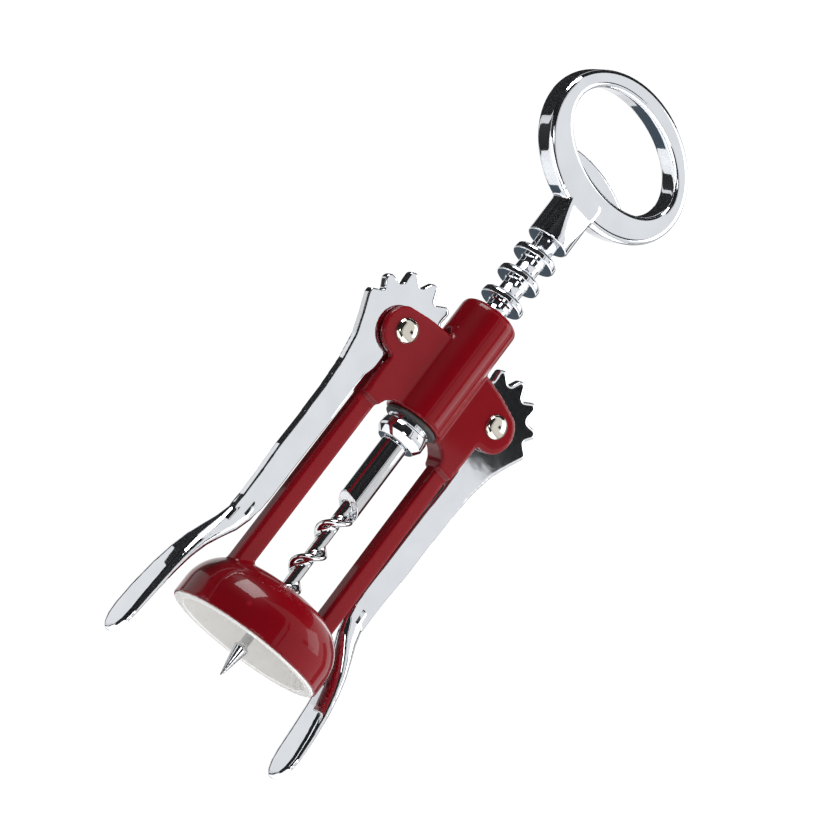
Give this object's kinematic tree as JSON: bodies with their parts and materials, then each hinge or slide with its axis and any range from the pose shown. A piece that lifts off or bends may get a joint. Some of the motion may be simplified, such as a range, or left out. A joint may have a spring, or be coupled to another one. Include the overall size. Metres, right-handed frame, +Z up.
{
  "type": "lever corkscrew",
  "caption": "Lever corkscrew with an enamelled frame and bell foot, geared wing levers, ringed rack spindle, auger worm and ring handle with a cap lifter.",
  "frame": {"origin": "centre of the bell's rim, where the tool seats on a bottle", "axes": "+Z up along the spindle towards the ring handle, +X towards the right lever, front is -Y"},
  "size_m": [0.0626, 0.04, 0.1865],
  "materials": {
    "enamel": "deep red gloss enamel on die-cast metal",
    "liner": "cream glossy moulded plastic",
    "chrome": "polished chrome plate",
    "nickel": "warm polished nickel plate",
    "worm_steel": "bright plated steel",
    "washer_fibre": "black hard fibre"
  },
  "bodies": {
    "frame": {"frame_casting": "enamel", "bell_liner": "liner", "left_rivet": "nickel", "right_rivet": "nickel"},
    "left_wing": {"left_lever": "chrome"},
    "right_wing": {"right_lever": "chrome"},
    "thrust_stack": {"thrust_washer": "washer_fibre", "stop_collar": "chrome"},
    "spindle": {"rack_spindle": "chrome", "worm": "worm_steel", "worm_pin": "worm_steel", "handle": "chrome", "handle_pin": "chrome"}
  },
  "joints": [
    {"name": "right_lever_lift", "type": "hinge", "parent": "frame", "child": "right_wing", "pos_m": [0.0179, 0, 0.0796], "axis": [0, -1, 0], "range_deg": [0, 130]},
    {"name": "left_lever_lift", "type": "hinge", "parent": "frame", "child": "left_wing", "pos_m": [-0.0179, 0, 0.0796], "axis": [0, 1, 0], "range_deg": [0, 130]},
    {"name": "rack_slide", "type": "slide", "parent": "frame", "child": "thrust_stack", "axis": [0, 0, -1], "range_m": [0, 0.0296]},
    {"name": "handle_turn", "type": "hinge", "parent": "thrust_stack", "child": "spindle", "pos_m": [0, 0, 0.06], "axis": [0, 0, 1], "continuous": true}
  ],
  "couplings": [
    {"joint": "left_lever_lift", "follows": "right_lever_lift", "ratio": 1},
    {"joint": "rack_slide", "follows": "right_lever_lift", "m_per_rad": 0.012968}
  ]
}
